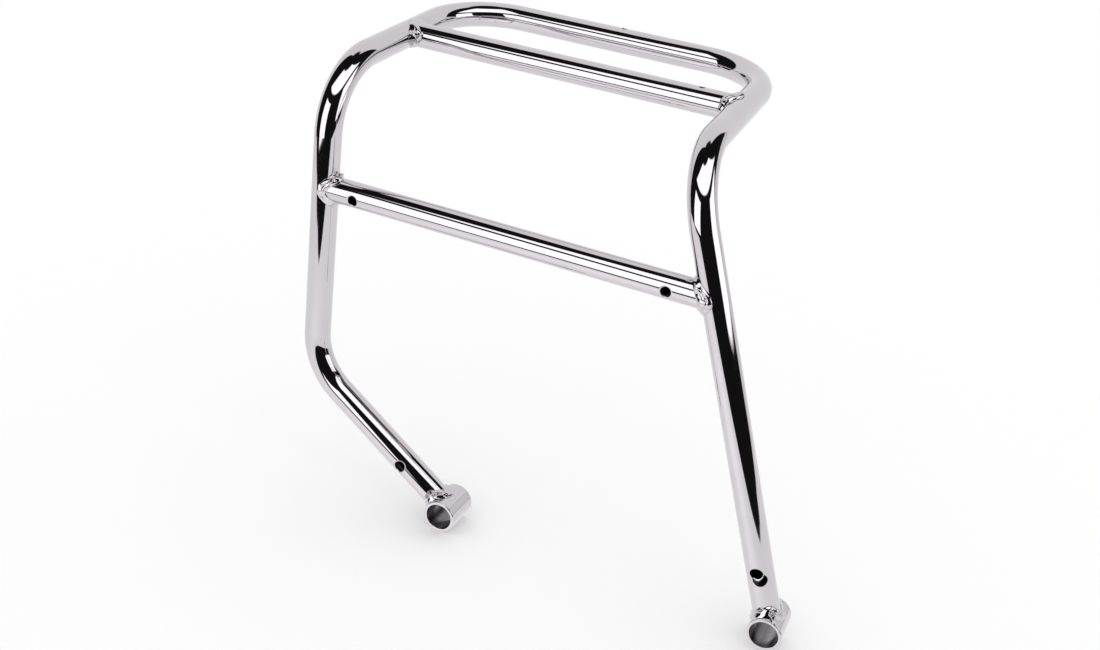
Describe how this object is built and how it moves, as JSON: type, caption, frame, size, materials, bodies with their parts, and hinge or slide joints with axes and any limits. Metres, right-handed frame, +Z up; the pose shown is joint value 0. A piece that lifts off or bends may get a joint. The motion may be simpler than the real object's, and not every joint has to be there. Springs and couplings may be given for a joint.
{
  "type": "motorcycle saddlebag bracket",
  "caption": "Chrome-plated bent-tube bracket that bolts to a motorcycle by bored feet and carries a saddlebag on drilled legs and a crossbar, with a small luggage shelf above.",
  "frame": {"origin": "centre of the left foot's bore", "axes": "+X from the left foot toward the right foot side, +Y along the foot bores toward the rear where the shelf reaches, +Z up along the left leg"},
  "size_m": [0.4544, 0.2461, 0.4074],
  "materials": {
    "plated_tube": "mirror-polished chrome plate on steel tube",
    "plated_weld": "chrome plate over an unground weld bead"
  },
  "bodies": {
    "root": {"hoop_tube": "plated_tube", "leg_crossbar": "plated_tube", "shelf_crossbar": "plated_tube", "left_foot_boss": "plated_tube", "right_foot_boss": "plated_tube", "leg_bar_weld_left": "plated_weld", "leg_bar_weld_right": "plated_weld", "shelf_weld_left": "plated_weld", "shelf_weld_right": "plated_weld", "left_foot_weld": "plated_weld", "right_foot_weld": "plated_weld"}
  },
  "joints": []
}
